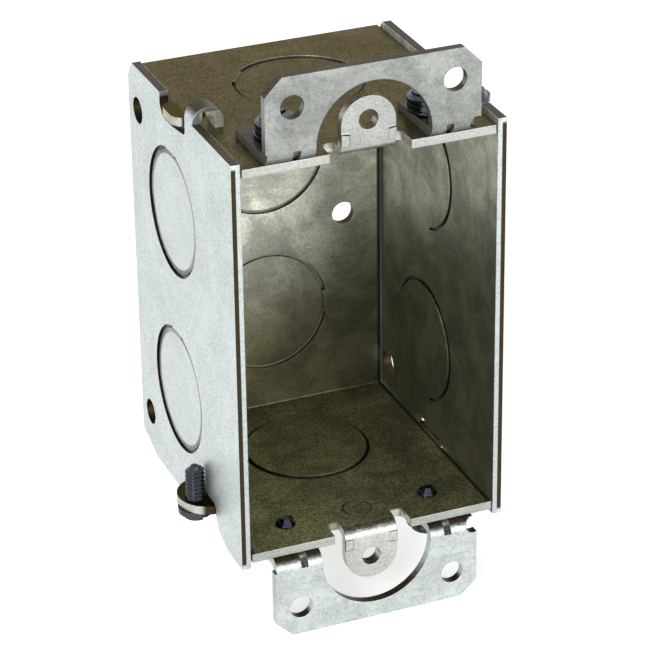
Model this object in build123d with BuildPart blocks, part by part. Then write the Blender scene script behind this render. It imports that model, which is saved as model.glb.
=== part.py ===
from build123d import *
import os

# Steel switch box with removable side plates: a folded channel makes the back, top and bottom,
# two flat side plates hook into it and are held by one screw each, and two slotted
# plaster ears slide on the top and bottom plates.
# Frame: +X to the right, +Y into the box, +Z up.
# The origin is midway between the two device screw holes, on the front face of their tabs.

# Sheet and overall sizes
sheet = 1.6                 # steel thickness, 1/16 in
inside_width = 46.04        # between the side plates: the gang pitch, 1-13/16 in
side_height = 76.2          # height of a side plate, 3 in
depth = 50.8                # front edge to back face, 2 in
end_span = 74.1             # over the outer faces of the top and bottom plates
bend_inside = 0.8           # inside radius of the folds of tabs and ears
back_bend_inside = 0.3      # the folds at the back are sharper
back_bend_outside = 0.9
side_fit = 0.35             # gap between the channel's edges and a side plate

# Device tabs, folded out of the top and bottom plates
device_pitch = 83.3         # between the two device screw holes, 3-9/32 in
tab_width = 9.8
tab_recess = 0.9            # the tabs stand this far behind the front edge
tab_tip_drop = 0.7          # the round tip is centred this far under the hole
tab_hole = 3.5              # tapped for a 6-32 screw
tab_collar = 5.2            # plunged collar round the tapped hole
tab_collar_depth = 0.7
tab_relief_width = 2.4      # relief notch at each side of a tab
tab_relief_depth = 4.4

# Knockouts for 1/2 in trade conduit
knockout_diameter = 22.2
knockout_ring = 0.6         # width of the sheared ring
knockout_ring_depth = 0.5
knockout_groove_depth = 0.65  # of the same ring on the recessed face
knockout_raise = 0.3        # the disc stands this far out of the sheet
knockout_tie = 4.5          # width of the web that keeps the disc in place
side_knockout_y = 29.0
side_knockout_z = 17.3
back_knockout_z = 15.9
end_knockout_y = 30.4
pilot_diameter = 5.3        # shallow round mark behind each device tab
pilot_depth = 0.25
pilot_y = 6.5

# Small holes
back_hole = 4.4
back_hole_x = 15.3
back_hole_z = 1.4
nail_hole = 4.8
nail_hole_inset = 4.6       # from the back face
nail_hole_z = 30.0

# Ganging tongue, screw lug and hook, at opposite corners of the channel
tongue_reach = 2.9          # past the channel's edge
tongue_y = 27.0
tongue_length = 8.2
tongue_corner = 2.6
lug_radius = 5.6
lug_screw_offset = 2.77     # the screw stands this far outside the centre of the lug's round end
lug_y = 17.9
lug_drop = 2.95             # the lug is joggled this far into the box
joggle_run = 2.6
joggle_clearance = 0.17     # between the joggle and the screw's head
joggle_slit = 0.4           # cut at each side of the joggle
hook_y = 19.0
hook_width = 3.6
hook_radius = 1.25          # inside radius of the curled hook
hook_clearance = 0.2
notch_clearance = 0.6
notch_slope = 4.5           # the notch for the lug widens by this much on the plate's edge
notch_corner = 1.0

# Screws
screw_diameter = 3.5        # 6-32 thread
thread_fit = 0.05           # radial gap that stands for the thread's flanks
screw_slot_width = 0.9
screw_slot_depth = 1.0
gang_screw_y = 16.9
gang_screw_clearance = 0.1  # between the shank and the side plate that it keeps in
gang_screw_length = 8.0     # under the head
gang_head_diameter = 6.4
gang_head_height = 2.0
ear_screw_inset = 5.55      # from the ear's outer edge
ear_screw_y = 6.45
ear_screw_length = 4.5
ear_head_diameter = 7.9
ear_head_height = 2.0
ear_washer_height = 0.8     # solid washer under the head
seat_gap = 0.05             # under a screw head and under an ear's foot

# Plaster ears
ear_width = 38.3
ear_rise = 10.95            # the outer edge stands this far past the device screw hole
ear_corner = 3.1            # chamfer of the outer corners
ear_cutout_radius = 10.3
ear_rim = 3.1               # over the cut-out
ear_hole_inset = 4.75       # from the ear's outer edge
ear_hole_drop = 5.4         # under the ear's top edge
ear_hole = 4.2
foot_inset = 0.3            # a foot is narrower than the ear at each outer side
foot_length = 14.5          # from the ear's front face
foot_relief = 1.3           # radius of the notch where a foot meets the ear's outer edge
foot_slot_width = 4.2
foot_slot_start = 4.6
foot_slot_end = 12.9
dart_width = 1.3            # pressed dart that stiffens each fold
dart_outside = 2.3

# Corner cuts of the side plates
top_cut_y, top_cut_z = 2.3, 2.9
bottom_cut_y, bottom_cut_z = 7.2, 2.6

# Places worked out from the sizes above
front_y = -tab_recess
back_y = front_y + depth
end_outer = end_span / 2
end_inner = end_outer - sheet
channel_half = inside_width / 2 - side_fit
plate_inner = inside_width / 2
plate_outer = plate_inner + sheet
bend_outside = bend_inside + sheet
tab_hole_z = device_pitch / 2
ear_top = tab_hole_z + ear_rise
ear_front = front_y - sheet
knockout_radius = knockout_diameter / 2
screw_radius = screw_diameter / 2
gang_screw_x = plate_outer + gang_screw_clearance + screw_radius
lug_x = gang_screw_x - lug_screw_offset
joggle_end = gang_screw_x - gang_head_diameter / 2 - joggle_clearance
joggle_start = joggle_end - joggle_run
lug_outer = end_outer - lug_drop
lug_inner = end_inner - lug_drop
ear_screw_x = ear_width / 2 - ear_screw_inset
ear_cutout_z = ear_top - ear_rim - ear_cutout_radius
ear_hole_z = ear_top - ear_hole_drop
ear_hole_x = ear_width / 2 - ear_hole_inset


def knockout(centre, raised, tie_angle):
    """Pushes a knockout disc out of the sheet on its raised side, with a sheared ring and a web."""
    face = Plane(origin=centre, z_dir=raised)
    tie = Rot(0, 0, tie_angle) * Pos(knockout_radius, 0)
    with BuildSketch(face) as drawn:
        Circle(knockout_radius)
    extrude(drawn.sketch, amount=knockout_raise)
    with BuildSketch(face.offset(-sheet)) as drawn:
        Circle(knockout_radius)
    extrude(drawn.sketch, amount=knockout_raise, mode=Mode.SUBTRACT)
    with BuildSketch(face) as drawn:
        Circle(knockout_radius + knockout_ring)
        Circle(knockout_radius, mode=Mode.SUBTRACT)
        with Locations(tie):
            Rectangle(4 * knockout_ring, knockout_tie, rotation=0, mode=Mode.SUBTRACT)
    extrude(drawn.sketch, amount=-knockout_ring_depth, mode=Mode.SUBTRACT)
    with BuildSketch(face.offset(-sheet)) as drawn:
        Circle(knockout_radius + knockout_ring)
        Circle(knockout_radius, mode=Mode.SUBTRACT)
        with Locations(tie):
            Rectangle(4 * knockout_ring, knockout_tie, rotation=0, mode=Mode.SUBTRACT)
    extrude(drawn.sketch, amount=knockout_groove_depth, mode=Mode.SUBTRACT)


def fold_profile(front, under, leg_end, rise_end):
    """Draws the side view of a sheet that runs forward and then folds away from the box."""
    centre = (front + bend_outside, under + bend_outside)
    with BuildLine() as outline:
        Polyline(
            (front, centre[1]),
            (front, rise_end),
            (front + sheet, rise_end),
            (front + sheet, centre[1]),
        )
        RadiusArc((front + sheet, centre[1]), (centre[0], under + sheet), -bend_inside)
        Polyline(
            (centre[0], under + sheet),
            (leg_end, under + sheet),
            (leg_end, under),
            (centre[0], under),
        )
        RadiusArc((centre[0], under), (front, centre[1]), bend_outside)
    make_face(outline.edges())


def device_tab():
    """Folds a device tab out of the top plate, with its reliefs and its tapped hole."""
    relief_half = tab_width / 2 + tab_relief_width
    with BuildSketch(Plane.XY.offset(end_inner)) as drawn:
        with Locations((0, front_y)):
            RectangleRounded(2 * relief_half, 2 * tab_relief_depth, 1.1)
    extrude(drawn.sketch, amount=sheet, mode=Mode.SUBTRACT)
    relief_end = front_y + tab_relief_depth + sheet
    tip_z = tab_hole_z - tab_tip_drop
    with BuildSketch(Plane.YZ) as drawn:
        fold_profile(0, end_inner, relief_end, tip_z)
    extrude(drawn.sketch, amount=tab_width / 2, both=True)
    with BuildSketch(Plane.XZ.offset(-sheet)) as drawn:
        with Locations((0, tip_z)):
            Circle(tab_width / 2)
    extrude(drawn.sketch, amount=sheet)
    with BuildSketch(Plane.XZ.offset(-sheet - tab_collar_depth)) as drawn:
        with Locations((0, tab_hole_z)):
            Circle(tab_collar / 2)
    extrude(drawn.sketch, amount=tab_collar_depth)
    with BuildSketch(Plane.XZ) as drawn:
        with Locations((0, tab_hole_z)):
            Circle(tab_hole / 2)
    extrude(drawn.sketch, amount=-sheet - tab_collar_depth, mode=Mode.SUBTRACT)


def lug():
    """Makes the screw lug of the top right corner, joggled into the box."""
    rise = (joggle_end - joggle_start, lug_drop)
    length = (rise[0] ** 2 + rise[1] ** 2) ** 0.5
    lean = sheet * (length - rise[0]) / rise[1]
    root = joggle_start - 2 * sheet
    tip = lug_x + lug_radius
    with BuildPart() as made:
        with BuildSketch(Plane.XZ.offset(-lug_y)):
            with BuildLine():
                Polyline(
                    (root, end_outer),
                    (joggle_start, end_outer),
                    (joggle_end, lug_outer),
                    (tip, lug_outer),
                    (tip, lug_inner),
                    (joggle_end - lean, lug_inner),
                    (joggle_start - lean, end_inner),
                    (root, end_inner),
                    close=True,
                )
            make_face()
        extrude(amount=lug_radius, both=True)
        with BuildSketch(Plane.XY.offset(lug_inner)):
            with Locations((lug_x, lug_y)):
                Circle(lug_radius)
                Rectangle(2 * lug_radius, 2 * lug_radius, align=(Align.MAX, Align.CENTER))
            with Locations((gang_screw_x, gang_screw_y)):
                Circle(screw_radius + thread_fit, mode=Mode.SUBTRACT)
        extrude(amount=end_outer - lug_inner, mode=Mode.INTERSECT)
    return made.part


def gang_features():
    """Adds the tongue and the hook slot at the top left, and the screw lug at the top right."""
    with BuildSketch(Plane.XY.offset(end_inner)) as drawn:
        with Locations((-channel_half, tongue_y)):
            RectangleRounded(2 * tongue_reach, tongue_length, tongue_corner)
    extrude(drawn.sketch, amount=sheet)
    leg_x = plate_inner - 2 * hook_radius - sheet / 2
    with BuildSketch(Plane.XY.offset(end_inner)) as drawn:
        with Locations((-leg_x, hook_y)):
            Rectangle(sheet + 2 * hook_clearance, hook_width + 2 * hook_clearance)
        with Locations((joggle_start, lug_y)):
            cut = 2 * lug_radius + 2 * joggle_slit
            Rectangle(lug_radius, cut, align=(Align.MIN, Align.CENTER))
    extrude(drawn.sketch, amount=sheet, mode=Mode.SUBTRACT)
    add(lug())


def end_plate_features():
    """Cuts and raises what the top plate carries: the bottom plate gets the same, turned."""
    device_tab()
    gang_features()
    knockout((0, end_knockout_y, end_inner), (0, 0, -1), 35)
    with BuildSketch(Plane.XY.offset(end_inner)) as drawn:
        with Locations((0, pilot_y)):
            Circle(pilot_diameter / 2)
            Circle(pilot_diameter / 2 - pilot_depth, mode=Mode.SUBTRACT)
    extrude(drawn.sketch, amount=pilot_depth, mode=Mode.SUBTRACT)
    with Locations((0, 0, end_outer)):
        with Locations((-ear_screw_x, ear_screw_y), (ear_screw_x, ear_screw_y)):
            Hole(screw_radius + thread_fit, depth=sheet)


# Channel: back, top and bottom plates in one folded sheet
with BuildPart() as upper_half:
    with BuildSketch(Plane.YZ) as section:
        with Locations((front_y, 0)):
            Rectangle(depth, end_outer, align=(Align.MIN, Align.MIN))
            Rectangle(depth - sheet, end_inner, align=(Align.MIN, Align.MIN), mode=Mode.SUBTRACT)
        corners = section.vertices().filter_by(lambda v: v.Y > end_inner / 2)
        fillet(corners.sort_by(Axis.X)[-1], back_bend_outside)
        corners = section.vertices().filter_by(lambda v: abs(v.Y - end_inner) < sheet / 10)
        fillet(corners.sort_by(Axis.X)[-1], back_bend_inside)
    extrude(amount=channel_half, both=True)
    end_plate_features()
    knockout((0, back_y, back_knockout_z), (0, 1, 0), -90)

with BuildPart() as body:
    add(upper_half.part)
    add(upper_half.part.rotate(Axis.Y, 180))
    for side in (-1, 1):
        place = (side * back_hole_x, back_y, side * back_hole_z)
        with Locations(Plane(origin=place, z_dir=(0, 1, 0))):
            Hole(back_hole / 2, depth=sheet)
body.part.label = "box_body"


def notch(points):
    """Cuts a round-cornered notch into a side plate's outline."""
    with BuildLine() as outline:
        FilletPolyline(*points, radius=notch_corner, close=True)
    make_face(outline.edges(), mode=Mode.SUBTRACT)


def side_plate_outline(top_cut, bottom_cut):
    """Draws the left side plate's outline, with the notches for the tongue and the lug."""
    half = side_height / 2
    beyond = half + 4 * notch_corner
    with BuildLine() as outline:
        Polyline(
            (front_y, -half),
            (front_y, half),
            (back_y - top_cut[0], half),
            (back_y, half - top_cut[1]),
            (back_y, bottom_cut[1] - half),
            (back_y - bottom_cut[0], -half),
            close=True,
        )
    make_face(outline.edges())
    near = hook_y + hook_width / 2
    far = tongue_y + tongue_length / 2 + notch_clearance
    floor = end_inner - notch_clearance
    notch([
        (near, beyond),
        (near, floor),
        (tongue_y, floor - sheet / 2),
        (far, floor - sheet / 2),
        (far + sheet, floor + sheet / 2),
        (far + sheet, beyond),
    ])
    near = lug_y - lug_radius - notch_clearance
    far = lug_y + lug_radius + notch_clearance
    floor = lug_inner - notch_clearance
    shoulder = floor + notch_clearance + sheet
    notch([
        (near - notch_slope - sheet, -beyond),
        (near - notch_slope - sheet, -half),
        (near - sheet, sheet - half),
        (near, -shoulder),
        (near, -floor),
        (far, -floor),
        (far, -shoulder),
        (far + sheet, sheet - half),
        (far + notch_slope + sheet, -half),
        (far + notch_slope + sheet, -beyond),
    ])


def hook():
    """Curls a hook from the left plate's top edge, over the top plate and into its slot."""
    top = side_height / 2
    centre_x = -plate_inner + hook_radius
    leg_outer = centre_x + hook_radius + sheet
    with BuildSketch(Plane.XZ.offset(-hook_y)) as drawn:
        with BuildLine():
            Polyline((centre_x - hook_radius, top), (centre_x - hook_radius, top - sheet))
            Polyline(
                (centre_x - hook_radius, top - sheet),
                (-plate_outer, top - sheet),
                (-plate_outer, top),
            )
            crown = (centre_x, top + hook_radius + sheet)
            ThreePointArc((-plate_outer, top), crown, (leg_outer, top))
            Polyline(
                (leg_outer, top),
                (leg_outer, end_inner),
                (leg_outer - sheet, end_inner),
                (leg_outer - sheet, top),
            )
            crown = (centre_x, top + hook_radius)
            ThreePointArc((leg_outer - sheet, top), crown, (centre_x - hook_radius, top))
        make_face()
    extrude(drawn.sketch, amount=hook_width / 2, both=True)


def side_plate(top_cut, bottom_cut):
    """Makes a left side plate, outer face towards -X."""
    with BuildPart() as plate:
        with BuildSketch(Plane.YZ.offset(-plate_outer)):
            side_plate_outline(top_cut, bottom_cut)
        extrude(amount=sheet)
        for z in (side_knockout_z, -side_knockout_z):
            knockout((-plate_inner, side_knockout_y, z), (1, 0, 0), 0)
        for z in (nail_hole_z, -nail_hole_z):
            with Locations(Plane(origin=(-plate_outer, back_y - nail_hole_inset, z), z_dir=(-1, 0, 0))):
                Hole(nail_hole / 2, depth=sheet)
        hook()
    return plate.part


left_side_plate = side_plate((top_cut_y, top_cut_z), (bottom_cut_y, bottom_cut_z))
left_side_plate.label = "left_side_plate"
right_side_plate = side_plate((bottom_cut_y, bottom_cut_z), (top_cut_y, top_cut_z))
right_side_plate = right_side_plate.rotate(Axis.Y, 180)
right_side_plate.label = "right_side_plate"


# Plaster ear: an upright plate with two slotted feet, drawn with its front face at Y = 0
foot_under = end_outer + seat_gap
with BuildPart() as drawn_ear:
    with BuildSketch(Plane.YZ.offset(-ear_width / 2)):
        fold_profile(0, foot_under, foot_length, ear_top)
    extrude(amount=ear_width)
    with BuildSketch(Plane.XZ):
        for side in (-1, 1):
            with Locations((side * ear_width / 2, ear_top)):
                Rectangle(ear_corner * 2 ** 0.5, ear_corner * 2 ** 0.5, rotation=45)
        with Locations((0, ear_cutout_z)):
            Circle(ear_cutout_radius)
            width = 2 * ear_cutout_radius
            Rectangle(width, ear_cutout_z, align=(Align.CENTER, Align.MAX))
    extrude(amount=-foot_length, mode=Mode.SUBTRACT)
    with BuildSketch(Plane.XY):
        for side in (-1, 1):
            with Locations((side * ear_width / 2, 0)):
                Rectangle(2 * foot_inset, 2 * foot_length)
    extrude(amount=foot_under + bend_outside, mode=Mode.SUBTRACT)
    with BuildSketch(Plane.XZ):
        for side in (-1, 1):
            relief_x = side * (ear_width / 2 - foot_relief / 2)
            with Locations((relief_x, foot_under + sheet)):
                Circle(foot_relief)
    extrude(amount=-bend_outside, mode=Mode.SUBTRACT)
    with BuildSketch(Plane.XZ):
        for side in (-1, 1):
            with Locations((side * ear_hole_x, ear_hole_z)):
                Circle(ear_hole / 2)
    extrude(amount=-sheet, mode=Mode.SUBTRACT)
    for side in (-1, 1):
        foot_x = side * ear_screw_x
        with BuildSketch(Plane.YZ.offset(foot_x)):
            with BuildLine():
                Polyline(
                    (sheet, foot_under + sheet),
                    (sheet + bend_inside, foot_under + sheet),
                    (sheet, foot_under + sheet + bend_inside),
                    close=True,
                )
            make_face()
        extrude(amount=dart_width / 2 + sheet / 4, both=True)
        with BuildSketch(Plane.YZ.offset(foot_x)):
            with BuildLine():
                Polyline(
                    (0, foot_under),
                    (dart_outside, foot_under),
                    (0, foot_under + dart_outside),
                    close=True,
                )
            make_face()
        extrude(amount=dart_width / 2, both=True, mode=Mode.SUBTRACT)
        with BuildSketch(Plane.XY.offset(foot_under)):
            with Locations((foot_x, (foot_slot_start + foot_slot_end) / 2)):
                SlotOverall(foot_slot_end - foot_slot_start, foot_slot_width, rotation=90)
        extrude(amount=2 * sheet, mode=Mode.SUBTRACT)
top_ear = drawn_ear.part.moved(Location((0, ear_front, 0)))
top_ear.label = "top_ear"

with BuildPart() as turned_ear:
    add(top_ear)
    mirror(about=Plane.XY, mode=Mode.REPLACE)
bottom_ear = turned_ear.part
bottom_ear.label = "bottom_ear"


def screw(head_diameter, head_height, washer_height, length, slot_angle):
    """Makes a slotted screw, head up, with the underside of its head or washer at the origin."""
    head_radius = head_diameter / 2
    top = washer_height + head_height
    neck = washer_height / 4
    with BuildPart() as made:
        with BuildSketch(Plane.XZ):
            with BuildLine():
                Polyline((0, top), (head_radius - head_height / 2, top))
                SagittaArc(
                    (head_radius - head_height / 2, top),
                    (head_radius - neck, top - head_height / 2),
                    -head_height / 5,
                )
                if washer_height > 0:
                    Polyline(
                        (head_radius - neck, top - head_height / 2),
                        (head_radius - neck, washer_height),
                        (head_radius - 2 * neck, washer_height - neck / 2),
                        (head_radius, washer_height - neck),
                        (head_radius, neck),
                        (head_radius - neck, 0),
                        (screw_radius, 0),
                    )
                else:
                    Polyline(
                        (head_radius, top - head_height / 2),
                        (head_radius, 0),
                        (screw_radius, 0),
                    )
                Polyline(
                    (screw_radius, 0),
                    (screw_radius, screw_radius / 2 - length),
                    (screw_radius / 2, -length),
                    (0, -length),
                    (0, top),
                )
            make_face()
        revolve(axis=Axis.Z)
        with BuildSketch(Plane.XY.offset(top)):
            Rectangle(2 * head_diameter, screw_slot_width, rotation=slot_angle)
        extrude(amount=-screw_slot_depth, mode=Mode.SUBTRACT)
    return made.part


def gang_screw(slot_angle):
    """Makes the ganging screw of the top right corner, over its lug."""
    made = screw(gang_head_diameter, gang_head_height, 0, gang_screw_length, slot_angle)
    return made.moved(Location((gang_screw_x, gang_screw_y, lug_outer + seat_gap)))


def ear_screw(x, slot_angle):
    """Makes an ear screw of the top plate, over the ear's foot."""
    made = screw(ear_head_diameter, ear_head_height, ear_washer_height, ear_screw_length, slot_angle)
    return made.moved(Location((x, ear_screw_y, foot_under + sheet + seat_gap)))


upper_gang_screw = gang_screw(20)
upper_gang_screw.label = "upper_gang_screw"
lower_gang_screw = gang_screw(65).rotate(Axis.Y, 180)
lower_gang_screw.label = "lower_gang_screw"

top_ear_screw_left = ear_screw(-ear_screw_x, 30)
top_ear_screw_left.label = "top_ear_screw_left"
top_ear_screw_right = ear_screw(ear_screw_x, 75)
top_ear_screw_right.label = "top_ear_screw_right"
bottom_ear_screw_left = ear_screw(ear_screw_x, 50).rotate(Axis.Y, 180)
bottom_ear_screw_left.label = "bottom_ear_screw_left"
bottom_ear_screw_right = ear_screw(-ear_screw_x, 10).rotate(Axis.Y, 180)
bottom_ear_screw_right.label = "bottom_ear_screw_right"

pieces = [
    body.part,
    left_side_plate,
    right_side_plate,
    top_ear,
    bottom_ear,
    upper_gang_screw,
    lower_gang_screw,
    top_ear_screw_left,
    top_ear_screw_right,
    bottom_ear_screw_left,
    bottom_ear_screw_right,
]

os.makedirs("parts", exist_ok=True)
for piece in pieces:
    export_step(piece, f"parts/{piece.label}.step")
    print(piece.label, len(piece.solids()), "solid", round(piece.volume, 1), "mm3")
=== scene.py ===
"""Dresses the steel switch box: galvanised sheet, threaded screws and a plain studio.

Units are metres. +X is right, +Y runs into the box and +Z is up, as in the frame.
"""

import bmesh
import bpy
from mathutils import Matrix, Vector


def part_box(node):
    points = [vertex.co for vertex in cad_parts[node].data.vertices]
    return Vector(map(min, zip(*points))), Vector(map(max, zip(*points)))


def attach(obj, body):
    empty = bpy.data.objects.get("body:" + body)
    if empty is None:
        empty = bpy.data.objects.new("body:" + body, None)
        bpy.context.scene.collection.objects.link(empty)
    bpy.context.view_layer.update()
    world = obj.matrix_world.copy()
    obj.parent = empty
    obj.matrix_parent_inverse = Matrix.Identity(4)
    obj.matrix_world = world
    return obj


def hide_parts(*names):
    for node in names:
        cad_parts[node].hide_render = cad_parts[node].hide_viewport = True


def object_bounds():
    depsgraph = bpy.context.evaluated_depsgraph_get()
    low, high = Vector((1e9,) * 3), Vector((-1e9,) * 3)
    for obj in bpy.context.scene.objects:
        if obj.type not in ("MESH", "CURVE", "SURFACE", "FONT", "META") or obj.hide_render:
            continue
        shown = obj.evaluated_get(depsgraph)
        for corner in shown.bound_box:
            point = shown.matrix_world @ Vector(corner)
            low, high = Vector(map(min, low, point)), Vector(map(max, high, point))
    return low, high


bl_info = {
    "name": "Steel switch box",
    "version": (1, 0, 0),
    "blender": (4, 5, 0),
    "location": "View3D > Sidebar > Switch box",
    "description": "Galvanised finishes, threaded screws and a studio for the switch box",
    "category": "Object",
}

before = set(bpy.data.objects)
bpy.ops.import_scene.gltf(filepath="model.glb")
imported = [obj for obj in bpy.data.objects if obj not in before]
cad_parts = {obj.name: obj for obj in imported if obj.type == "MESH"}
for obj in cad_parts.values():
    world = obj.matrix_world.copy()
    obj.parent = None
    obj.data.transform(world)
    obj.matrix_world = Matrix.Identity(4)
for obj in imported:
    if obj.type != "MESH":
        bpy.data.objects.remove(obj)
CAD_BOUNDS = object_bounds()

MM = 0.001

# Points closer together than the first are merged; a point closer to a face than the second lies on it
MERGED = 1e-6
TOUCHING = 1e-5

SHEET_NODES = ("left_side_plate", "right_side_plate", "top_ear", "bottom_ear")
EAR_SCREWS = (
    "top_ear_screw_left",
    "top_ear_screw_right",
    "bottom_ear_screw_left",
    "bottom_ear_screw_right",
)
GANG_SCREWS = ("upper_gang_screw", "lower_gang_screw")

# The device tabs: half their width, and the fold at their foot
TAB_HALF = 5.15 * MM
FOLD_RADIUS = 2.4 * MM
FOLD_TOP = 37.85 * MM
FOLD_STEPS = 6

# Edges sharper than this many radians stay sharp, and faces this square to an axis are shaded flat
SHARP_ANGLE = 0.6
SQUARE = 0.999

# How far back and how high the inside colour reaches, on the body and on the loose sheets
BODY_REACH = (48.7 * MM, 35.55 * MM)
PLATE_REACH = (52 * MM, 40 * MM)
SOFT_STEP = 0.2 * MM

# Where the layers of the finish lie. Each pair is the place where a layer starts and where it is full;
# X and Z are sizes from the middle, and Y is the place in the box. The slant adds shares of X and Y to Z.
INSIDE_X = (23.2 * MM, 23.05 * MM)
INSIDE_Y = (-0.85 * MM, -0.6 * MM)
LOW_INSIDE = (29 * MM, -8 * MM)
LOW_SLANT = (-0.5, 0.37)
PLATE_X = (22.9 * MM, 23.0 * MM)
PLATE_OUTSIDE_X = (23.5 * MM, 23.6 * MM)
PLATE_Z = (37.6 * MM, 37.0 * MM)
PLATE_CORNER_Y = (47.3 * MM, 47.9 * MM)
BACK_X = (22.6 * MM, 22.5 * MM)
BACK_Y = (48.35 * MM, 48.45 * MM)
BACK_Z = (34.0 * MM, 33.5 * MM)
FRONT_EDGE_X = (23.9 * MM, 23.75 * MM)
FRONT_EDGE_Y = (-0.8 * MM, -0.88 * MM)
BEHIND_EAR_Y = (-1.3 * MM, -1.1 * MM)
TOP_TAB_Y = (-0.5 * MM, -0.3 * MM)
TOP_TAB_Z = (36 * MM, 38 * MM)
SEAM_X = (21.8 * MM, 22.3 * MM)
SEAM_END_X = (22.7 * MM, 22.68 * MM)

# The side plates' knockouts: how deep and how high their centres are, and the ring of painted shade round each
DISC_Y = 29.0 * MM
DISC_Z = 17.3 * MM
RING_SHADE_INNER = (10.1 * MM, 10.5 * MM)
RING_SHADE_OUTER = (11.6 * MM, 11.3 * MM)

# Parts of a face's normal, from start to full: facing up, facing the front, nearly so, and turned from an axis
UPWARD = (0.3, 0.8)
FORWARD = (-0.6, -0.8)
ROUGHLY_FORWARD = (-0.3, -0.6)
TURNED = (0.6, 0.4)

# Reach of the painted shade in grooves, and the size of a rolling mark along each axis
GROOVE_REACH = 0.9 * MM
STREAK_SIZE = (9 * MM, 0.5 * MM, 0.8 * MM)

# Tint of the zinc seen aslant: brown, to go with the shade painted on the body's upward faces, or none
BROWN_GRAZE_TINT = (0.8, 0.72, 0.5)
NO_TINT = (1.0, 1.0, 1.0)

# Each sheet's finish: its material, where its inside ends, how clouded, specked and dull it is, and its tint
BODY_LOOK = {
    "name": "galvanised_body_sheet",
    "reach": BODY_REACH,
    "mottle": 0.12,
    "speck_depth": 0.5,
    "roughness": 0.36,
    "graze": BROWN_GRAZE_TINT,
}
PLATE_LOOK = {
    "name": "galvanised_side_sheet",
    "reach": PLATE_REACH,
    "mottle": 0.05,
    "speck_depth": 0.6,
    "roughness": 0.42,
    "graze": NO_TINT,
}
# The top ear is darker and more clouded than the bottom one
TOP_EAR_LOOK = {
    "name": "darker_ear_sheet",
    "reach": BODY_REACH,
    "mottle": 0.3,
    "speck_depth": 0.75,
    "roughness": 0.42,
    "graze": NO_TINT,
}
BOTTOM_EAR_LOOK = {
    "name": "lighter_ear_sheet",
    "reach": BODY_REACH,
    "mottle": 0.16,
    "speck_depth": 0.7,
    "roughness": 0.42,
    "graze": NO_TINT,
}

# The solids' shanks are a little thicker than the thread's crest; the thread stops short of both ends
SHANK_PLAY = 0.06 * MM
SHANK_SLACK = 0.08 * MM
THREAD_TIP = 0.5 * MM
THREAD_NECK = 0.05 * MM

# The crimps at the tabs' lower corners: how far they stand out of the tab and reach into it, how far they
# reach below and above the fold's top, how far their corners are from the tab's side, and their top's slope
CRIMP_PROUD = 0.22 * MM
CRIMP_SUNK = 0.3 * MM
CRIMP_BELOW = 0.3 * MM
CRIMP_ABOVE = 2.0 * MM
CRIMP_INSETS = (0.25 * MM, 1.6 * MM, 2.1 * MM)
CRIMP_SLOPES = (0.5 * MM, 0.3 * MM)

# The ear screws' heads: how much taller than the solid's they are, the groove between their bands, and
# the radius inside which nothing is moved
WASHER_TOP = 0.85 * MM
HEAD_LIFT = 0.7 * MM
BAND_GROOVE = 1.75 * MM
GROOVE_HALF = 0.12 * MM
GROOVE_DEPTH = 0.35 * MM
HEAD_CORE = 3 * MM

# The studio: half the table's width, where the lamps point, and each lamp's place, size, power and colour
TABLE_HALF = 3.0
LAMP_TARGET = (0, 0.02, 0)
LAMPS = {
    "key_lamp": ((-0.75, -0.75, 0.55), 0.5, 9.0, (1.0, 0.99, 0.97)),
    "front_lamp": ((0.25, -0.6, 0.1), 0.4, 2.1, (1.0, 1.0, 1.0)),
    "side_lamp": ((1.0, 0.6, 0.5), 0.8, 2.0, (1.0, 1.0, 1.0)),
}

# The camera stands where the photograph's did, about half a metre away
CAMERA_PLACE = (-0.17542, -0.41186, 0.23276)
CAMERA_RIGHT = (0.92427, -0.38151, -0.01297)
CAMERA_UP = (0.18408, 0.41569, 0.89068)
CAMERA_BACK = (-0.33442, -0.82562, 0.45444)
SENSOR_WIDTH = 36
LENS = 165.70


def linear(hex_colour):
    """Turns an sRGB hex colour into the linear values that Blender's colours hold."""
    parts = [int(hex_colour[i : i + 2], 16) / 255 for i in (1, 3, 5)]
    return tuple(c / 12.92 if c <= 0.04045 else ((c + 0.055) / 1.055) ** 2.4 for c in parts)


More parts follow.
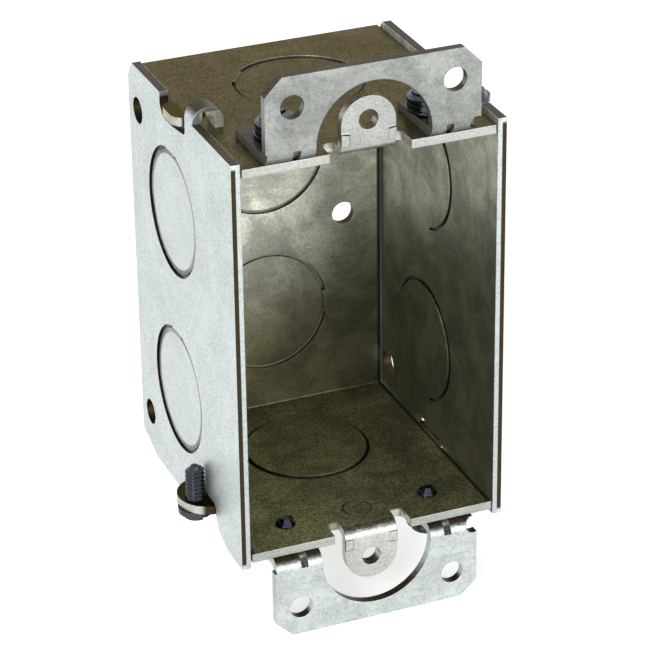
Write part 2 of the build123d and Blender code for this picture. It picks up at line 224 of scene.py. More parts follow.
class SheetFinish(bpy.types.PropertyGroup):
    """Colours and grain of the galvanised sheet, and the light and shade painted on it."""

    plate_colour: bpy.props.FloatVectorProperty(
        name="Side plate zinc",
        description="Dull zinc of the flat side plates",
        subtype="COLOR",
        default=linear("#CCD5D5"),
        min=0,
        max=1,
    )
    top_ear_colour: bpy.props.FloatVectorProperty(
        name="Top ear zinc",
        description="Darker grey, more clouded zinc of the top ear",
        subtype="COLOR",
        default=linear("#909390"),
        min=0,
        max=1,
    )
    bottom_ear_colour: bpy.props.FloatVectorProperty(
        name="Bottom ear zinc",
        description="Lighter zinc of the bottom ear",
        subtype="COLOR",
        default=linear("#C3CBC9"),
        min=0,
        max=1,
    )
    body_colour: bpy.props.FloatVectorProperty(
        name="Body zinc",
        description="Zinc of the folded body, seen on its tabs and front edges",
        subtype="COLOR",
        default=linear("#C0C3BF"),
        min=0,
        max=1,
    )
    # Painted shade: the body's upward faces are coloured dark brown
    top_shade_colour: bpy.props.FloatVectorProperty(
        name="Painted top shade",
        description="Brown shade painted on the body's upward faces",
        subtype="COLOR",
        default=linear("#504B41"),
        min=0,
        max=1,
    )
    # Also painted shade: the plates' and ears' upward faces take this brown
    edge_and_shade_colour: bpy.props.FloatVectorProperty(
        name="Sheared edge and top shade",
        description="Brown steel where the sheet was sheared, and shade painted where it faces up",
        subtype="COLOR",
        default=linear("#3A3122"),
        min=0,
        max=1,
    )
    # Painted light: the upper inside is coloured lighter
    inside_lit_colour: bpy.props.FloatVectorProperty(
        name="Inside, upper part",
        description="Olive grey zinc, painted lighter high inside the box",
        subtype="COLOR",
        default=linear("#DDDED3"),
        min=0,
        max=1,
    )
    # Painted shade: the lower inside is coloured darker
    inside_shaded_colour: bpy.props.FloatVectorProperty(
        name="Inside, lower part",
        description="Olive zinc low inside the box, darkened with painted shade",
        subtype="COLOR",
        default=linear("#6E6E5C"),
        min=0,
        max=1,
    )
    # Painted shade: the upward faces inside the box are coloured dark olive
    inside_floor_shade_colour: bpy.props.FloatVectorProperty(
        name="Inside, upward faces",
        description="Dark olive shade painted on the upward faces inside the box",
        subtype="COLOR",
        default=linear("#807F60"),
        min=0,
        max=1,
    )
    # Painted shade in grooves, seams, inner corners and round the knockouts
    crevice_shade_colour: bpy.props.FloatVectorProperty(
        name="Painted crevice shade",
        description="Black-brown shade painted in grooves, seams and corners",
        subtype="COLOR",
        default=linear("#353225"),
        min=0,
        max=1,
    )
    speck_size: bpy.props.FloatProperty(
        name="Speck size",
        description="Width of the fine dark specks in the zinc",
        default=0.45 * MM,
        min=0.1 * MM,
        max=2 * MM,
        unit="LENGTH",
    )
    cloud_size: bpy.props.FloatProperty(
        name="Cloud size",
        description="Width of the soft clouds in the zinc",
        default=9 * MM,
        min=2 * MM,
        max=40 * MM,
        unit="LENGTH",
    )
    edge_radius: bpy.props.FloatProperty(
        name="Edge rounding",
        description="Radius that sheared edges are worn to",
        default=0.22 * MM,
        min=0.05 * MM,
        max=1 * MM,
        unit="LENGTH",
    )


class ScrewSizes(bpy.types.PropertyGroup):
    """Sizes and colour of the screws."""

    crest_radius: bpy.props.FloatProperty(
        name="Crest radius",
        description="Outer radius of the thread",
        default=1.74 * MM,
        min=0.5 * MM,
        max=5 * MM,
        unit="LENGTH",
    )
    root_radius: bpy.props.FloatProperty(
        name="Root radius",
        description="Radius at the bottom of the thread",
        default=1.36 * MM,
        min=0.4 * MM,
        max=5 * MM,
        unit="LENGTH",
    )
    pitch: bpy.props.FloatProperty(
        name="Pitch",
        description="Distance from one thread crest to the next, 32 to the inch",
        default=25.4 / 32 * MM,
        min=0.2 * MM,
        max=3 * MM,
        unit="LENGTH",
    )
    colour: bpy.props.FloatVectorProperty(
        name="Screw zinc",
        description="Blue-black zinc plate of the screws",
        subtype="COLOR",
        default=linear("#454A52"),
        min=0,
        max=1,
    )


class StudioSettings(bpy.types.PropertyGroup):
    """Table, lamps and camera."""

    table_colour: bpy.props.FloatVectorProperty(
        name="Table",
        description="White table under the box",
        subtype="COLOR",
        default=linear("#F7F7F5"),
        min=0,
        max=1,
    )
    table_glow: bpy.props.FloatProperty(
        name="Table brightness",
        description="How white the table looks to the camera and in reflections",
        default=0.42,
        min=0,
        max=1,
    )
    world_strength: bpy.props.FloatProperty(
        name="Room light",
        description="Strength of the even light from all round",
        default=0.55,
        min=0,
        max=2,
    )


def add_node(tree, kind, settings=None, inputs=None):
    """Adds a node, applies its settings, and fills or links its inputs."""
    node = tree.nodes.new(kind)
    for key, value in (settings or {}).items():
        setattr(node, key, value)
    for key, value in (inputs or {}).items():
        if isinstance(value, bpy.types.NodeSocket):
            tree.links.new(value, node.inputs[key])
        else:
            node.inputs[key].default_value = value
    return node


def rgba(colour):
    """Gives a colour its alpha."""
    return (*colour[:3], 1.0)


def shade(colour, factor):
    """Gives a colour lightened or darkened by a factor."""
    return tuple(min(1.0, c * factor) for c in colour[:3]) + (1.0,)


def new_material(name):
    """Starts a node material with an empty tree."""
    material = bpy.data.materials.new(name)
    material.use_nodes = True
    material.node_tree.nodes.clear()
    return material, material.node_tree


def soft_region(tree, steps):
    """Multiplies soft steps, each a value with the places where it starts and is full, into one mask."""
    whole = None
    for value, start, full in steps:
        step = add_node(
            tree,
            "ShaderNodeMapRange",
            {"interpolation_type": "SMOOTHSTEP"},
            {"Value": value, "From Min": start, "From Max": full},
        ).outputs["Result"]
        if whole is not None:
            step = add_node(tree, "ShaderNodeMath", {"operation": "MULTIPLY"}, {0: whole, 1: step})
            step = step.outputs["Value"]
        whole = step
    return whole


def sheet_patterns(tree, place, finish):
    """Adds the zinc's three patterns: specks, clouds and rolling marks."""
    # Specks of under half a millimetre, a little coarser than real so that they show.
    specks = add_node(
        tree,
        "ShaderNodeTexNoise",
        inputs={"Vector": place, "Scale": 1 / finish.speck_size, "Detail": 3.0, "Roughness": 0.7},
    )
    # Clouds of about a centimetre, where the zinc froze at different speeds.
    clouds = add_node(
        tree,
        "ShaderNodeTexNoise",
        inputs={
            "Vector": place,
            "Scale": 1 / finish.cloud_size,
            "Detail": 6.0,
            "Roughness": 0.66,
            "Distortion": 0.5,
        },
    )
    # Rolling marks: long, thin streaks across the sheet.
    stretched = add_node(
        tree, "ShaderNodeMapping", inputs={"Vector": place, "Scale": tuple(1 / size for size in STREAK_SIZE)}
    )
    streaks = add_node(
        tree,
        "ShaderNodeTexNoise",
        inputs={"Vector": stretched.outputs["Vector"], "Scale": 1.0, "Detail": 3.0, "Roughness": 0.6},
    )
    return [pattern.outputs["Fac"] for pattern in (specks, clouds, streaks)]


def sheet_regions(tree, place, reach, clouds):
    """Adds a mask for each place where the zinc looks different, and gives them by name."""
    spot = add_node(tree, "ShaderNodeSeparateXYZ", inputs={"Vector": place}).outputs
    normal = add_node(tree, "ShaderNodeNewGeometry").outputs["Normal"]
    facing = add_node(tree, "ShaderNodeSeparateXYZ", inputs={"Vector": normal}).outputs
    off_x, off_z, turned_x, turned_y = (
        add_node(tree, "ShaderNodeMath", {"operation": "ABSOLUTE"}, {0: part}).outputs["Value"]
        for part in (spot["X"], spot["Z"], facing["X"], facing["Y"])
    )
    inside = soft_region(
        tree,
        [
            (off_x, *INSIDE_X),
            (off_z, reach[1] + SOFT_STEP, reach[1]),
            (spot["Y"], *INSIDE_Y),
            (spot["Y"], reach[0] + SOFT_STEP, reach[0]),
        ],
    )
    # Painted shade: the inside darkens downwards, to the right and towards the front.
    slant = spot["Z"]
    for part, weight in zip((spot["X"], spot["Y"]), LOW_SLANT):
        slant = add_node(
            tree, "ShaderNodeMath", {"operation": "MULTIPLY_ADD"}, {0: part, 1: weight, 2: slant}
        ).outputs["Value"]
    from_disc = [
        add_node(tree, "ShaderNodeMath", {"operation": "SUBTRACT"}, {0: part, 1: middle}).outputs["Value"]
        for part, middle in ((spot["Y"], DISC_Y), (off_z, DISC_Z))
    ]
    arm = add_node(tree, "ShaderNodeCombineXYZ", inputs={"X": from_disc[0], "Y": from_disc[1]})
    radius = add_node(
        tree, "ShaderNodeVectorMath", {"operation": "LENGTH"}, {"Vector": arm.outputs["Vector"]}
    ).outputs["Value"]
    # Painted shade: ambient occlusion finds the grooves to darken
    occluded = add_node(
        tree, "ShaderNodeAmbientOcclusion", {"samples": 6, "only_local": True}, {"Distance": GROOVE_REACH}
    ).outputs["AO"]
    # Painted shade along the seams where the side plates meet the body
    seam = soft_region(tree, [(off_x, *SEAM_X), (off_x, *SEAM_END_X)])
    seam = add_node(tree, "ShaderNodeMath", {"operation": "MULTIPLY"}, {0: seam, 1: inside})
    return {
        "inside": inside,
        "low_inside": soft_region(tree, [(slant, *LOW_INSIDE)]),
        # Painted shade goes on the faces that look up
        "upward": soft_region(tree, [(facing["Z"], *UPWARD)]),
        "sheared": soft_region(tree, [(turned_x, *TURNED), (off_x, *PLATE_X), (off_z, *PLATE_Z)]),
        "hole_wall": soft_region(
            tree, [(turned_y, *TURNED), (spot["Y"], *BACK_Y), (off_z, *BACK_Z), (off_x, *BACK_X)]
        ),
        "front_edge": soft_region(
            tree,
            [
                (facing["Y"], *FORWARD),
                (spot["Y"], *FRONT_EDGE_Y),
                (spot["Y"], *BEHIND_EAR_Y),
                (off_x, *FRONT_EDGE_X),
            ],
        ),
        "top_tab": soft_region(
            tree, [(facing["Y"], *ROUGHLY_FORWARD), (spot["Y"], *TOP_TAB_Y), (spot["Z"], *TOP_TAB_Z)]
        ),
        # Painted shade: a dark ring round each knockout, where its groove can't be seen
        "ring_shade": soft_region(
            tree,
            [
                (off_x, *PLATE_OUTSIDE_X),
                (radius, *RING_SHADE_INNER),
                (radius, *RING_SHADE_OUTER),
                (clouds, 0.0, 0.75),
            ],
        ),
        # Painted shade in the plates' inner back corners
        "corner": soft_region(tree, [(off_x, *PLATE_X), (spot["Y"], *PLATE_CORNER_Y), (inside, 0.0, 1.0)]),
        "groove": soft_region(tree, [(occluded, 0.75, 0.3)]),
        "seam": seam.outputs["Value"],
    }


def galvanised_sheet(look, finish, zinc, upward_shade):
    """Hot-dipped and rolled zinc on mild steel: dull, clouded, finely specked, brown where it was sheared;
    with light painted high inside, and shade painted low inside, on upward faces, in grooves, seams and
    corners and round the knockouts.
    """
    material, tree = new_material(look["name"])
    place = add_node(tree, "ShaderNodeTexCoord").outputs["Object"]
    specks, clouds, streaks = sheet_patterns(tree, place, finish)
    region = sheet_regions(tree, place, look["reach"], clouds)

    # Plain colours first, each over the one before.
    inside, upward = (
        add_node(
            tree,
            "ShaderNodeMix",
            {"data_type": "RGBA"},
            {"Factor": mask, "A": rgba(first), "B": rgba(second)},
        ).outputs["Result"]
        for mask, first, second in (
            # Painted light above and painted shade below, inside the box
            (region["low_inside"], finish.inside_lit_colour, finish.inside_shaded_colour),
            # Painted shade on upward faces, dark olive inside
            (region["inside"], upward_shade, finish.inside_floor_shade_colour),
        )
    )
    base = rgba(zinc)
    for name, colour in (
        ("top_tab", shade(zinc, 0.72)),
        ("inside", inside),
        ("upward", upward),
        ("sheared", rgba(finish.edge_and_shade_colour)),
        ("hole_wall", rgba(finish.edge_and_shade_colour)),
        ("front_edge", shade(zinc, 0.8)),
    ):
        base = add_node(
            tree, "ShaderNodeMix", {"data_type": "RGBA"}, {"Factor": region[name], "A": base, "B": colour}
        ).outputs["Result"]

    # Then the patterns, each from its darkest tone to its lightest, which differ inside and on upward faces.
    cloud_dark, cloud_light, grain_dark, grain_light = (
        add_node(
            tree, "ShaderNodeMapRange", inputs={"Value": region[name], "To Min": elsewhere, "To Max": there}
        ).outputs["Result"]
        for name, elsewhere, there in (
            ("inside", 1 - look["mottle"], 0.68),
            ("inside", 1 + look["mottle"] / 2, 1.3),
            ("upward", 0.74, 0.42),
            ("upward", 1.18, 1.7),
        )
    )
    streaked, spotted = (
        add_node(tree, "ShaderNodeMath", {"operation": "MULTIPLY"}, {0: mask, 1: depth}).outputs["Value"]
        for mask, depth in (
            (soft_region(tree, [(streaks, 0.5, 0.75)]), 0.3),
            (soft_region(tree, [(specks, 0.5, 0.72)]), look["speck_depth"]),
        )
    )
    for mask, darkest, lightest in (
        (soft_region(tree, [(clouds, 0.36, 0.66)]), cloud_dark, cloud_light),
        (soft_region(tree, [(specks, 0.36, 0.64)]), grain_dark, grain_light),
        (streaked, 1.0, 0.5),
        (spotted, 1.0, 0.35),
    ):
        tone = add_node(
            tree, "ShaderNodeMapRange", inputs={"Value": mask, "To Min": darkest, "To Max": lightest}
        ).outputs["Result"]
        base = add_node(
            tree, "ShaderNodeVectorMath", {"operation": "SCALE"}, {"Vector": base, "Scale": tone}
        ).outputs["Vector"]

    # Painted shade last: in grooves, along seams and corners and round the knockouts.
    for name in ("groove", "seam", "corner", "ring_shade"):
        base = add_node(
            tree,
            "ShaderNodeMix",
            {"data_type": "RGBA"},
            {"Factor": region[name], "A": base, "B": rgba(finish.crevice_shade_colour)},
        ).outputs["Result"]

    dull = add_node(
        tree,
        "ShaderNodeMapRange",
        inputs={
            "Value": clouds,
            "From Min": 0.3,
            "From Max": 0.7,
            "To Min": look["roughness"] + 0.07,
            "To Max": look["roughness"] - 0.06,
        },
    )
    metal = add_node(
        tree, "ShaderNodeMapRange", inputs={"Value": region["inside"], "To Min": 0.95, "To Max": 0.75}
    )
    rounded = add_node(tree, "ShaderNodeBevel", {"samples": 4}, {"Radius": finish.edge_radius})
    grain = add_node(
        tree,
        "ShaderNodeBump",
        inputs={
            "Strength": 0.25,
            "Distance": 0.05 * MM,
            "Height": specks,
            "Normal": rounded.outputs["Normal"],
        },
    )
    surface = add_node(
        tree,
        "ShaderNodeBsdfPrincipled",
        inputs={
            "Base Color": base,
            "Metallic": metal.outputs["Result"],
            "Roughness": dull.outputs["Result"],
            "Specular Tint": rgba(look["graze"]),
            "Normal": grain.outputs["Normal"],
        },
    )
    add_node(tree, "ShaderNodeOutputMaterial", inputs={"Surface": surface.outputs["BSDF"]})
    return material


def zinc_plated_screw(colour):
    """Blue-bright zinc plate over a rolled thread: smooth and dark, with sharp highlights."""
    material, tree = new_material("zinc_plated_screw")
    place = add_node(tree, "ShaderNodeTexCoord").outputs["Object"]
    # Handling marks of about a millimetre.
    marks = add_node(
        tree,
        "ShaderNodeTexNoise",
        inputs={"Vector": place, "Scale": 1 / (1.1 * MM), "Detail": 4.0, "Roughness": 0.6},
    )
    tint = add_node(
        tree,
        "ShaderNodeMix",
        {"data_type": "RGBA"},
        {"Factor": marks.outputs["Fac"], "A": shade(colour, 0.6), "B": shade(colour, 1.35)},
    )
    gloss = add_node(
        tree,
        "ShaderNodeMapRange",
        inputs={
            "Value": marks.outputs["Fac"],
            "From Min": 0.3,
            "From Max": 0.7,
            "To Min": 0.07,
            "To Max": 0.15,
        },
    )
    rounded = add_node(tree, "ShaderNodeBevel", {"samples": 4}, {"Radius": 0.12 * MM})
    surface = add_node(
        tree,
        "ShaderNodeBsdfPrincipled",
        inputs={
            "Base Color": tint.outputs["Result"],
            "Metallic": 1.0,
            "Roughness": gloss.outputs["Result"],
            "Normal": rounded.outputs["Normal"],
        },
    )
    add_node(tree, "ShaderNodeOutputMaterial", inputs={"Surface": surface.outputs["BSDF"]})
    return material


def backdrop_rays(tree):
    """Adds a mask of the rays that see the backdrop white: camera, glossy and transmission rays."""
    rays = add_node(tree, "ShaderNodeLightPath").outputs
    seen = rays["Is Camera Ray"]
    for kind in ("Is Glossy Ray", "Is Transmission Ray"):
        seen = add_node(tree, "ShaderNodeMath", {"operation": "MAXIMUM"}, {0: seen, 1: rays[kind]})
        seen = seen.outputs["Value"]
    return seen


def white_table(colour, glow):
    """White seamless paper: matt, and white to the camera, with the box's shadow kept."""
    material, tree = new_material("white_table_paper")
    lit = add_node(tree, "ShaderNodeMath", {"operation": "MULTIPLY"}, {0: backdrop_rays(tree), 1: glow})
    surface = add_node(
        tree,
        "ShaderNodeBsdfPrincipled",
        inputs={
            "Base Color": rgba(colour),
            "Roughness": 0.9,
            "Emission Color": (1, 1, 1, 1),
            "Emission Strength": lit.outputs["Value"],
        },
    )
    add_node(tree, "ShaderNodeOutputMaterial", inputs={"Surface": surface.outputs["BSDF"]})
    return material


def plain_room(strength):
    """Even room light from all round, which looks white to the camera and in reflections."""
    world = bpy.data.worlds.new("plain_room")
    world.use_nodes = True
    tree = world.node_tree
    tree.nodes.clear()
    seen = backdrop_rays(tree)
    plain, white = (
        add_node(
            tree, "ShaderNodeBackground", inputs={"Color": (1, 1, 1, 1), "Strength": level}
        ).outputs["Background"]
        for level in (strength, 1.0)
    )
    mixed = add_node(tree, "ShaderNodeMixShader", inputs={0: seen, 1: plain, 2: white})
    add_node(tree, "ShaderNodeOutputWorld", inputs={"Surface": mixed.outputs["Shader"]})
    return world


def thread_tree(material):
    """Builds the screw thread: a ridge with a V section that winds up a core."""
    tree = bpy.data.node_groups.new("screw_thread", "GeometryNodeTree")
    face = tree.interface
    for name, value in (
        ("Crest Radius", 1.74 * MM),
        ("Root Radius", 1.36 * MM),
        ("Pitch", 0.79 * MM),
        ("Length", 5 * MM),
    ):
        face.new_socket(name, in_out="INPUT", socket_type="NodeSocketFloat").default_value = value
    face.new_socket("Geometry", in_out="OUTPUT", socket_type="NodeSocketGeometry")
    given = add_node(tree, "NodeGroupInput").outputs
    turns, depth = (
        add_node(tree, "ShaderNodeMath", {"operation": step}, {0: given[first], 1: given[second]})
        for step, first, second in (
            ("DIVIDE", "Length", "Pitch"),
            ("SUBTRACT", "Crest Radius", "Root Radius"),
        )
    )
    helix = add_node(
        tree,
        "GeometryNodeCurveSpiral",
        inputs={
            "Resolution": 20,
            "Rotations": turns.outputs["Value"],
            "Start Radius": given["Root Radius"],
            "End Radius": given["Root Radius"],
            "Height": given["Length"],
        },
    )
    upright = add_node(
        tree, "GeometryNodeSetCurveNormal", {"mode": "Z_UP"}, {"Curve": helix.outputs["Curve"]}
    )
    width, height = (
        add_node(tree, "ShaderNodeMath", {"operation": "MULTIPLY"}, {0: size, 1: share}).outputs["Value"]
        for size, share in ((depth.outputs["Value"], 2.0), (given["Pitch"], 0.43))
    )
    section = add_node(
        tree,
        "GeometryNodeCurvePrimitiveQuadrilateral",
        {"mode": "KITE"},
        {"Width": width, "Bottom Height": height, "Top Height": height},
    )
    ridge = add_node(
        tree,
        "GeometryNodeCurveToMesh",
        inputs={
            "Curve": upright.outputs["Curve"],
            "Profile Curve": section.outputs["Curve"],
            "Fill Caps": True,
        },
    )
    whole = add_node(tree, "GeometryNodeRealizeInstances", inputs={"Geometry": ridge.outputs["Mesh"]})
    coated = add_node(
        tree, "GeometryNodeSetMaterial", inputs={"Geometry": whole.outputs["Geometry"], "Material": material}
    )
    add_node(tree, "NodeGroupOutput", inputs={"Geometry": coated.outputs["Geometry"]})
    return tree


def set_input(modifier, name, value):
    """Sets a modifier's input by its socket's identifier."""
    for item in modifier.node_group.interface.items_tree:
        if item.name == name and item.in_out == "INPUT":
            modifier[item.identifier] = value
            return
    raise RuntimeError("the thread has no input called " + name)


def wound_thread(tree, sizes, length):
    """Gives the mesh of a thread of that length, winding up from the origin."""
    holder = bpy.data.objects.new("thread_holder", bpy.data.meshes.new("thread_holder"))
    bpy.context.scene.collection.objects.link(holder)
    modifier = holder.modifiers.new("thread", "NODES")
    modifier.node_group = tree
    set_input(modifier, "Crest Radius", sizes.crest_radius)
    set_input(modifier, "Root Radius", sizes.root_radius)
    set_input(modifier, "Pitch", sizes.pitch)
    set_input(modifier, "Length", length)
    depsgraph = bpy.context.evaluated_depsgraph_get()
    mesh = bpy.data.meshes.new_from_object(holder.evaluated_get(depsgraph))
    empty = holder.data
    bpy.data.objects.remove(holder)
    bpy.data.meshes.remove(empty)
    return mesh


def threaded_screw(node, tree, sizes, material):
    """Replaces a plain screw node: its shank is slimmed and threaded, and an ear screw's head is banded."""
    low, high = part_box(node)
    axis = Vector(((low[0] + high[0]) / 2, (low[1] + high[1]) / 2, 0))
    way = 1 if low[2] + high[2] > 0 else -1
    shank = sizes.crest_radius + SHANK_PLAY
    mesh = bmesh.new()
    mesh.from_mesh(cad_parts[node].data)
    bmesh.ops.remove_doubles(mesh, verts=mesh.verts, dist=MERGED)
    on_shank = [vert for vert in mesh.verts if abs((vert.co.xy - axis.xy).length - shank) < SHANK_SLACK]
    seat = way * max(way * vert.co.z for vert in on_shank)
    for vert in mesh.verts:
        arm = vert.co.xy - axis.xy
        if way * (vert.co.z - seat) <= MERGED and arm.length < shank + SHANK_SLACK:
            slim = arm * (sizes.root_radius / shank)
            vert.co.x = axis.x + slim.x
            vert.co.y = axis.y + slim.y
    if node in EAR_SCREWS:
        banded_head(mesh, axis, seat, way)
    bmesh.ops.recalc_face_normals(mesh, faces=mesh.faces)
    tip = low[2] if way > 0 else high[2]
    thread = wound_thread(tree, sizes, abs(seat - tip) - THREAD_TIP - THREAD_NECK)
    start = tip + THREAD_TIP if way > 0 else seat + THREAD_NECK
    thread.transform(Matrix.Translation((axis.x, axis.y, start)))
    mesh.from_mesh(thread)
    bpy.data.meshes.remove(thread)
    made = bpy.data.meshes.new(node + "_threaded")
    mesh.to_mesh(made)
    mesh.free()
    made.materials.append(material)
    for face in made.polygons:
        face.material_index = 0
    shade_afresh(made)
    piece = bpy.data.objects.new(node + "_threaded", made)
    bpy.context.scene.collection.objects.link(piece)
    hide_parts(node)
    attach(piece, "box")
    return piece


def banded_head(mesh, axis, seat, way):
    """Makes an ear screw's head as tall as the real one, with a groove that parts it into bands."""
    for vert in mesh.verts:
        if way * (vert.co.z - seat) > WASHER_TOP:
            vert.co.z += way * HEAD_LIFT
    for rise in (BAND_GROOVE - GROOVE_HALF, BAND_GROOVE, BAND_GROOVE + GROOVE_HALF):
        bmesh.ops.bisect_plane(
            mesh,
            geom=[*mesh.faces, *mesh.edges, *mesh.verts],
            dist=1e-7,
            plane_co=(0, 0, seat + way * rise),
            plane_no=(0, 0, 1),
        )
    middle = seat + way * BAND_GROOVE
    for vert in mesh.verts:
        arm = vert.co.xy - axis.xy
        if abs(vert.co.z - middle) < MERGED and arm.length > HEAD_CORE:
            slim = arm * (1 - GROOVE_DEPTH / arm.length)
            vert.co.x = axis.x + slim.x
            vert.co.y = axis.y + slim.y


def shade_afresh(mesh):
    """Drops the normals that came with a copied mesh, and keeps its corners sharp."""
    if "custom_normal" in mesh.attributes:
        mesh.attributes.remove(mesh.attributes["custom_normal"])
    mesh.set_sharp_from_angle(angle=SHARP_ANGLE)


def refined_body(material):
    """Replaces the folded body by its own mesh, with smooth folds and pressed crimps at its tabs."""
    mesh = bmesh.new()
    mesh.from_mesh(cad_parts["box_body"].data)
    bmesh.ops.remove_doubles(mesh, verts=mesh.verts, dist=MERGED)
    for side in (1, -1):
        for step in range(FOLD_STEPS):
            height = side * (FOLD_TOP - step * FOLD_RADIUS / (FOLD_STEPS + 1))
            faces = [face for face in mesh.faces if on_tab_front(face, side)]
            edges = {edge for face in faces for edge in face.edges}
            verts = {vert for face in faces for vert in face.verts}
            bmesh.ops.bisect_plane(
                mesh,
                geom=[*faces, *edges, *verts],
                dist=MERGED,
                plane_co=(0, 0, height),
                plane_no=(0, 0, 1),
            )
        for vert in mesh.verts:
            drop = FOLD_TOP - side * vert.co.z
            if abs(vert.co.y) < TOUCHING and abs(vert.co.x) < TAB_HALF and 0 < drop < FOLD_RADIUS:
                vert.co.y = FOLD_RADIUS - (FOLD_RADIUS**2 - drop**2) ** 0.5
    bmesh.ops.remove_doubles(mesh, verts=mesh.verts, dist=TOUCHING)
    bmesh.ops.dissolve_degenerate(mesh, edges=mesh.edges, dist=MERGED)
    for side in (1, -1):
        for corner in (1, -1):
            pressed_crimp(mesh, corner, side)
    mesh.normal_update()
    for face in mesh.faces:
        face.smooth = max(abs(part) for part in face.normal) < SQUARE
    made = bpy.data.meshes.new("folded_body")
    mesh.to_mesh(made)
    mesh.free()
    shade_afresh(made)
    made.materials.append(material)
    piece = bpy.data.objects.new("folded_body", made)
    bpy.context.scene.collection.objects.link(piece)
    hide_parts("box_body")
    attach(piece, "box")
    return piece


def on_tab_front(face, side):
    """Says whether a face lies on the front of the top or bottom device tab."""
    return all(
        abs(vert.co.y) < TOUCHING
        and abs(vert.co.x) < TAB_HALF
        and side * vert.co.z > FOLD_TOP - FOLD_RADIUS
        for vert in face.verts
    )


def pressed_crimp(mesh, corner, side):
    """Adds a small stiffening crimp, pressed out of the front of a tab at one lower corner."""
    outer, middle, inner = (corner * (TAB_HALF - inset) for inset in CRIMP_INSETS)
    low = side * (FOLD_TOP - CRIMP_BELOW)
    high = side * (FOLD_TOP + CRIMP_ABOVE)
    places = [
        (outer, CRIMP_SUNK, low),
        (inner, CRIMP_SUNK, low),
        (inner, CRIMP_SUNK, high),
        (outer, CRIMP_SUNK, high),
        (outer, -CRIMP_PROUD, low),
        (middle, -CRIMP_PROUD, low),
        (middle, -CRIMP_PROUD, high - side * CRIMP_SLOPES[0]),
        (outer, -CRIMP_PROUD, high - side * CRIMP_SLOPES[1]),
    ]
    verts = [mesh.verts.new(place) for place in places]
    sides = [(0, 1, 2, 3), (4, 5, 6, 7), (0, 1, 5, 4), (1, 2, 6, 5), (2, 3, 7, 6), (3, 0, 4, 7)]
    faces = [mesh.faces.new([verts[i] for i in corners]) for corners in sides]
    bmesh.ops.recalc_face_normals(mesh, faces=faces)


def clothe(node, material):
    """Gives a CAD node its finish."""
    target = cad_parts[node]
    target.data.materials.clear()
    target.data.materials.append(material)


class SWITCHBOX_OT_sheet(bpy.types.Operator):
    """Give the body, the side plates and the ears their galvanised finish"""

    bl_idname = "switchbox.sheet"
    bl_label = "Galvanise the sheet metal"

    def execute(self, context):
        finish = context.scene.sheet_finish
        body, plate, top_ear, bottom_ear = (
            galvanised_sheet(look, finish, zinc, upward_shade)
            for look, zinc, upward_shade in (
                (BODY_LOOK, finish.body_colour, finish.top_shade_colour),
                (PLATE_LOOK, finish.plate_colour, finish.edge_and_shade_colour),
                (TOP_EAR_LOOK, finish.top_ear_colour, finish.edge_and_shade_colour),
                (BOTTOM_EAR_LOOK, finish.bottom_ear_colour, finish.edge_and_shade_colour),
            )
        )
        refined_body(body)
        for node, material in zip(SHEET_NODES, (plate, plate, top_ear, bottom_ear)):
            clothe(node, material)
        return {"FINISHED"}


class SWITCHBOX_OT_screws(bpy.types.Operator):
    """Make the ganging screws and the ear screws, with slotted heads and real threads"""

    bl_idname = "switchbox.screws"
    bl_label = "Thread the screws"

    def execute(self, context):
        sizes = context.scene.screw_sizes
        material = zinc_plated_screw(sizes.colour)
        tree = thread_tree(material)
        for node in GANG_SCREWS + EAR_SCREWS:
            threaded_screw(node, tree, sizes, material)
        return {"FINISHED"}


def soft_lamp(name, place, size, power, colour):
    """Hangs a square lamp at a place, turned to the box."""
    light = bpy.data.lights.new(name, "AREA")
    light.shape = "SQUARE"
    light.size = size
    light.energy = power
    light.color = colour
    lamp = bpy.data.objects.new(name, light)
    lamp.location = place
    lamp.rotation_euler = (Vector(LAMP_TARGET) - Vector(place)).to_track_quat("-Z", "Y").to_euler()
    bpy.context.scene.collection.objects.link(lamp)


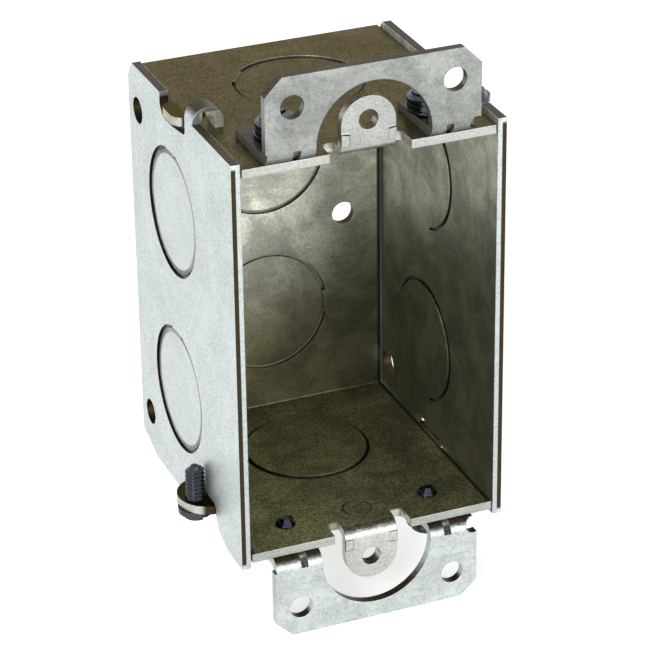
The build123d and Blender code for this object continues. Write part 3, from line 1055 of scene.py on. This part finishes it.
class SWITCHBOX_OT_stage(bpy.types.Operator):
    """Set the white table, the soft lamps, the room light and the camera"""

    bl_idname = "switchbox.stage"
    bl_label = "Set the studio"

    def execute(self, context):
        scene = context.scene
        studio = scene.studio_settings
        ground = CAD_BOUNDS[0][2]
        mesh = bpy.data.meshes.new("table")
        corners = [(TABLE_HALF * x, TABLE_HALF * y, ground) for x, y in ((-1, -1), (1, -1), (1, 1), (-1, 1))]
        mesh.from_pydata(corners, [], [(0, 1, 2, 3)])
        mesh.materials.append(white_table(studio.table_colour, studio.table_glow))
        table = bpy.data.objects.new("table", mesh)
        scene.collection.objects.link(table)
        for name, settings in LAMPS.items():
            soft_lamp(name, *settings)
        scene.world = plain_room(studio.world_strength)
        turn = Matrix((CAMERA_RIGHT, CAMERA_UP, CAMERA_BACK)).transposed().to_4x4()
        data = bpy.data.cameras.new("camera")
        data.sensor_width = SENSOR_WIDTH
        data.lens = LENS
        data.clip_start = 0.01
        data.clip_end = 20
        camera = bpy.data.objects.new("camera", data)
        camera.matrix_world = Matrix.Translation(CAMERA_PLACE) @ turn
        scene.collection.objects.link(camera)
        scene.camera = camera
        scene.view_settings.view_transform = "Standard"
        return {"FINISHED"}


class SWITCHBOX_PT_panel(bpy.types.Panel):
    """Lists the steps that dress the switch box."""

    bl_idname = "SWITCHBOX_PT_panel"
    bl_label = "Switch box"
    bl_space_type = "VIEW_3D"
    bl_region_type = "UI"
    bl_category = "Switch box"

    def draw(self, context):
        layout = self.layout
        scene = context.scene
        for settings, step in (
            (scene.sheet_finish, "switchbox.sheet"),
            (scene.screw_sizes, "switchbox.screws"),
            (scene.studio_settings, "switchbox.stage"),
        ):
            box = layout.box()
            for name in settings.__annotations__:
                box.prop(settings, name)
            box.operator(step)


CLASSES = (
    SheetFinish,
    ScrewSizes,
    StudioSettings,
    SWITCHBOX_OT_sheet,
    SWITCHBOX_OT_screws,
    SWITCHBOX_OT_stage,
    SWITCHBOX_PT_panel,
)


def register():
    for kind in CLASSES:
        bpy.utils.register_class(kind)
    bpy.types.Scene.sheet_finish = bpy.props.PointerProperty(type=SheetFinish)
    bpy.types.Scene.screw_sizes = bpy.props.PointerProperty(type=ScrewSizes)
    bpy.types.Scene.studio_settings = bpy.props.PointerProperty(type=StudioSettings)


def unregister():
    del bpy.types.Scene.studio_settings
    del bpy.types.Scene.screw_sizes
    del bpy.types.Scene.sheet_finish
    for kind in reversed(CLASSES):
        bpy.utils.unregister_class(kind)


def main():
    """Dresses the box and sets the studio."""
    register()
    bpy.ops.switchbox.sheet()
    bpy.ops.switchbox.screws()
    bpy.ops.switchbox.stage()


if __name__ == "__main__":
    main()
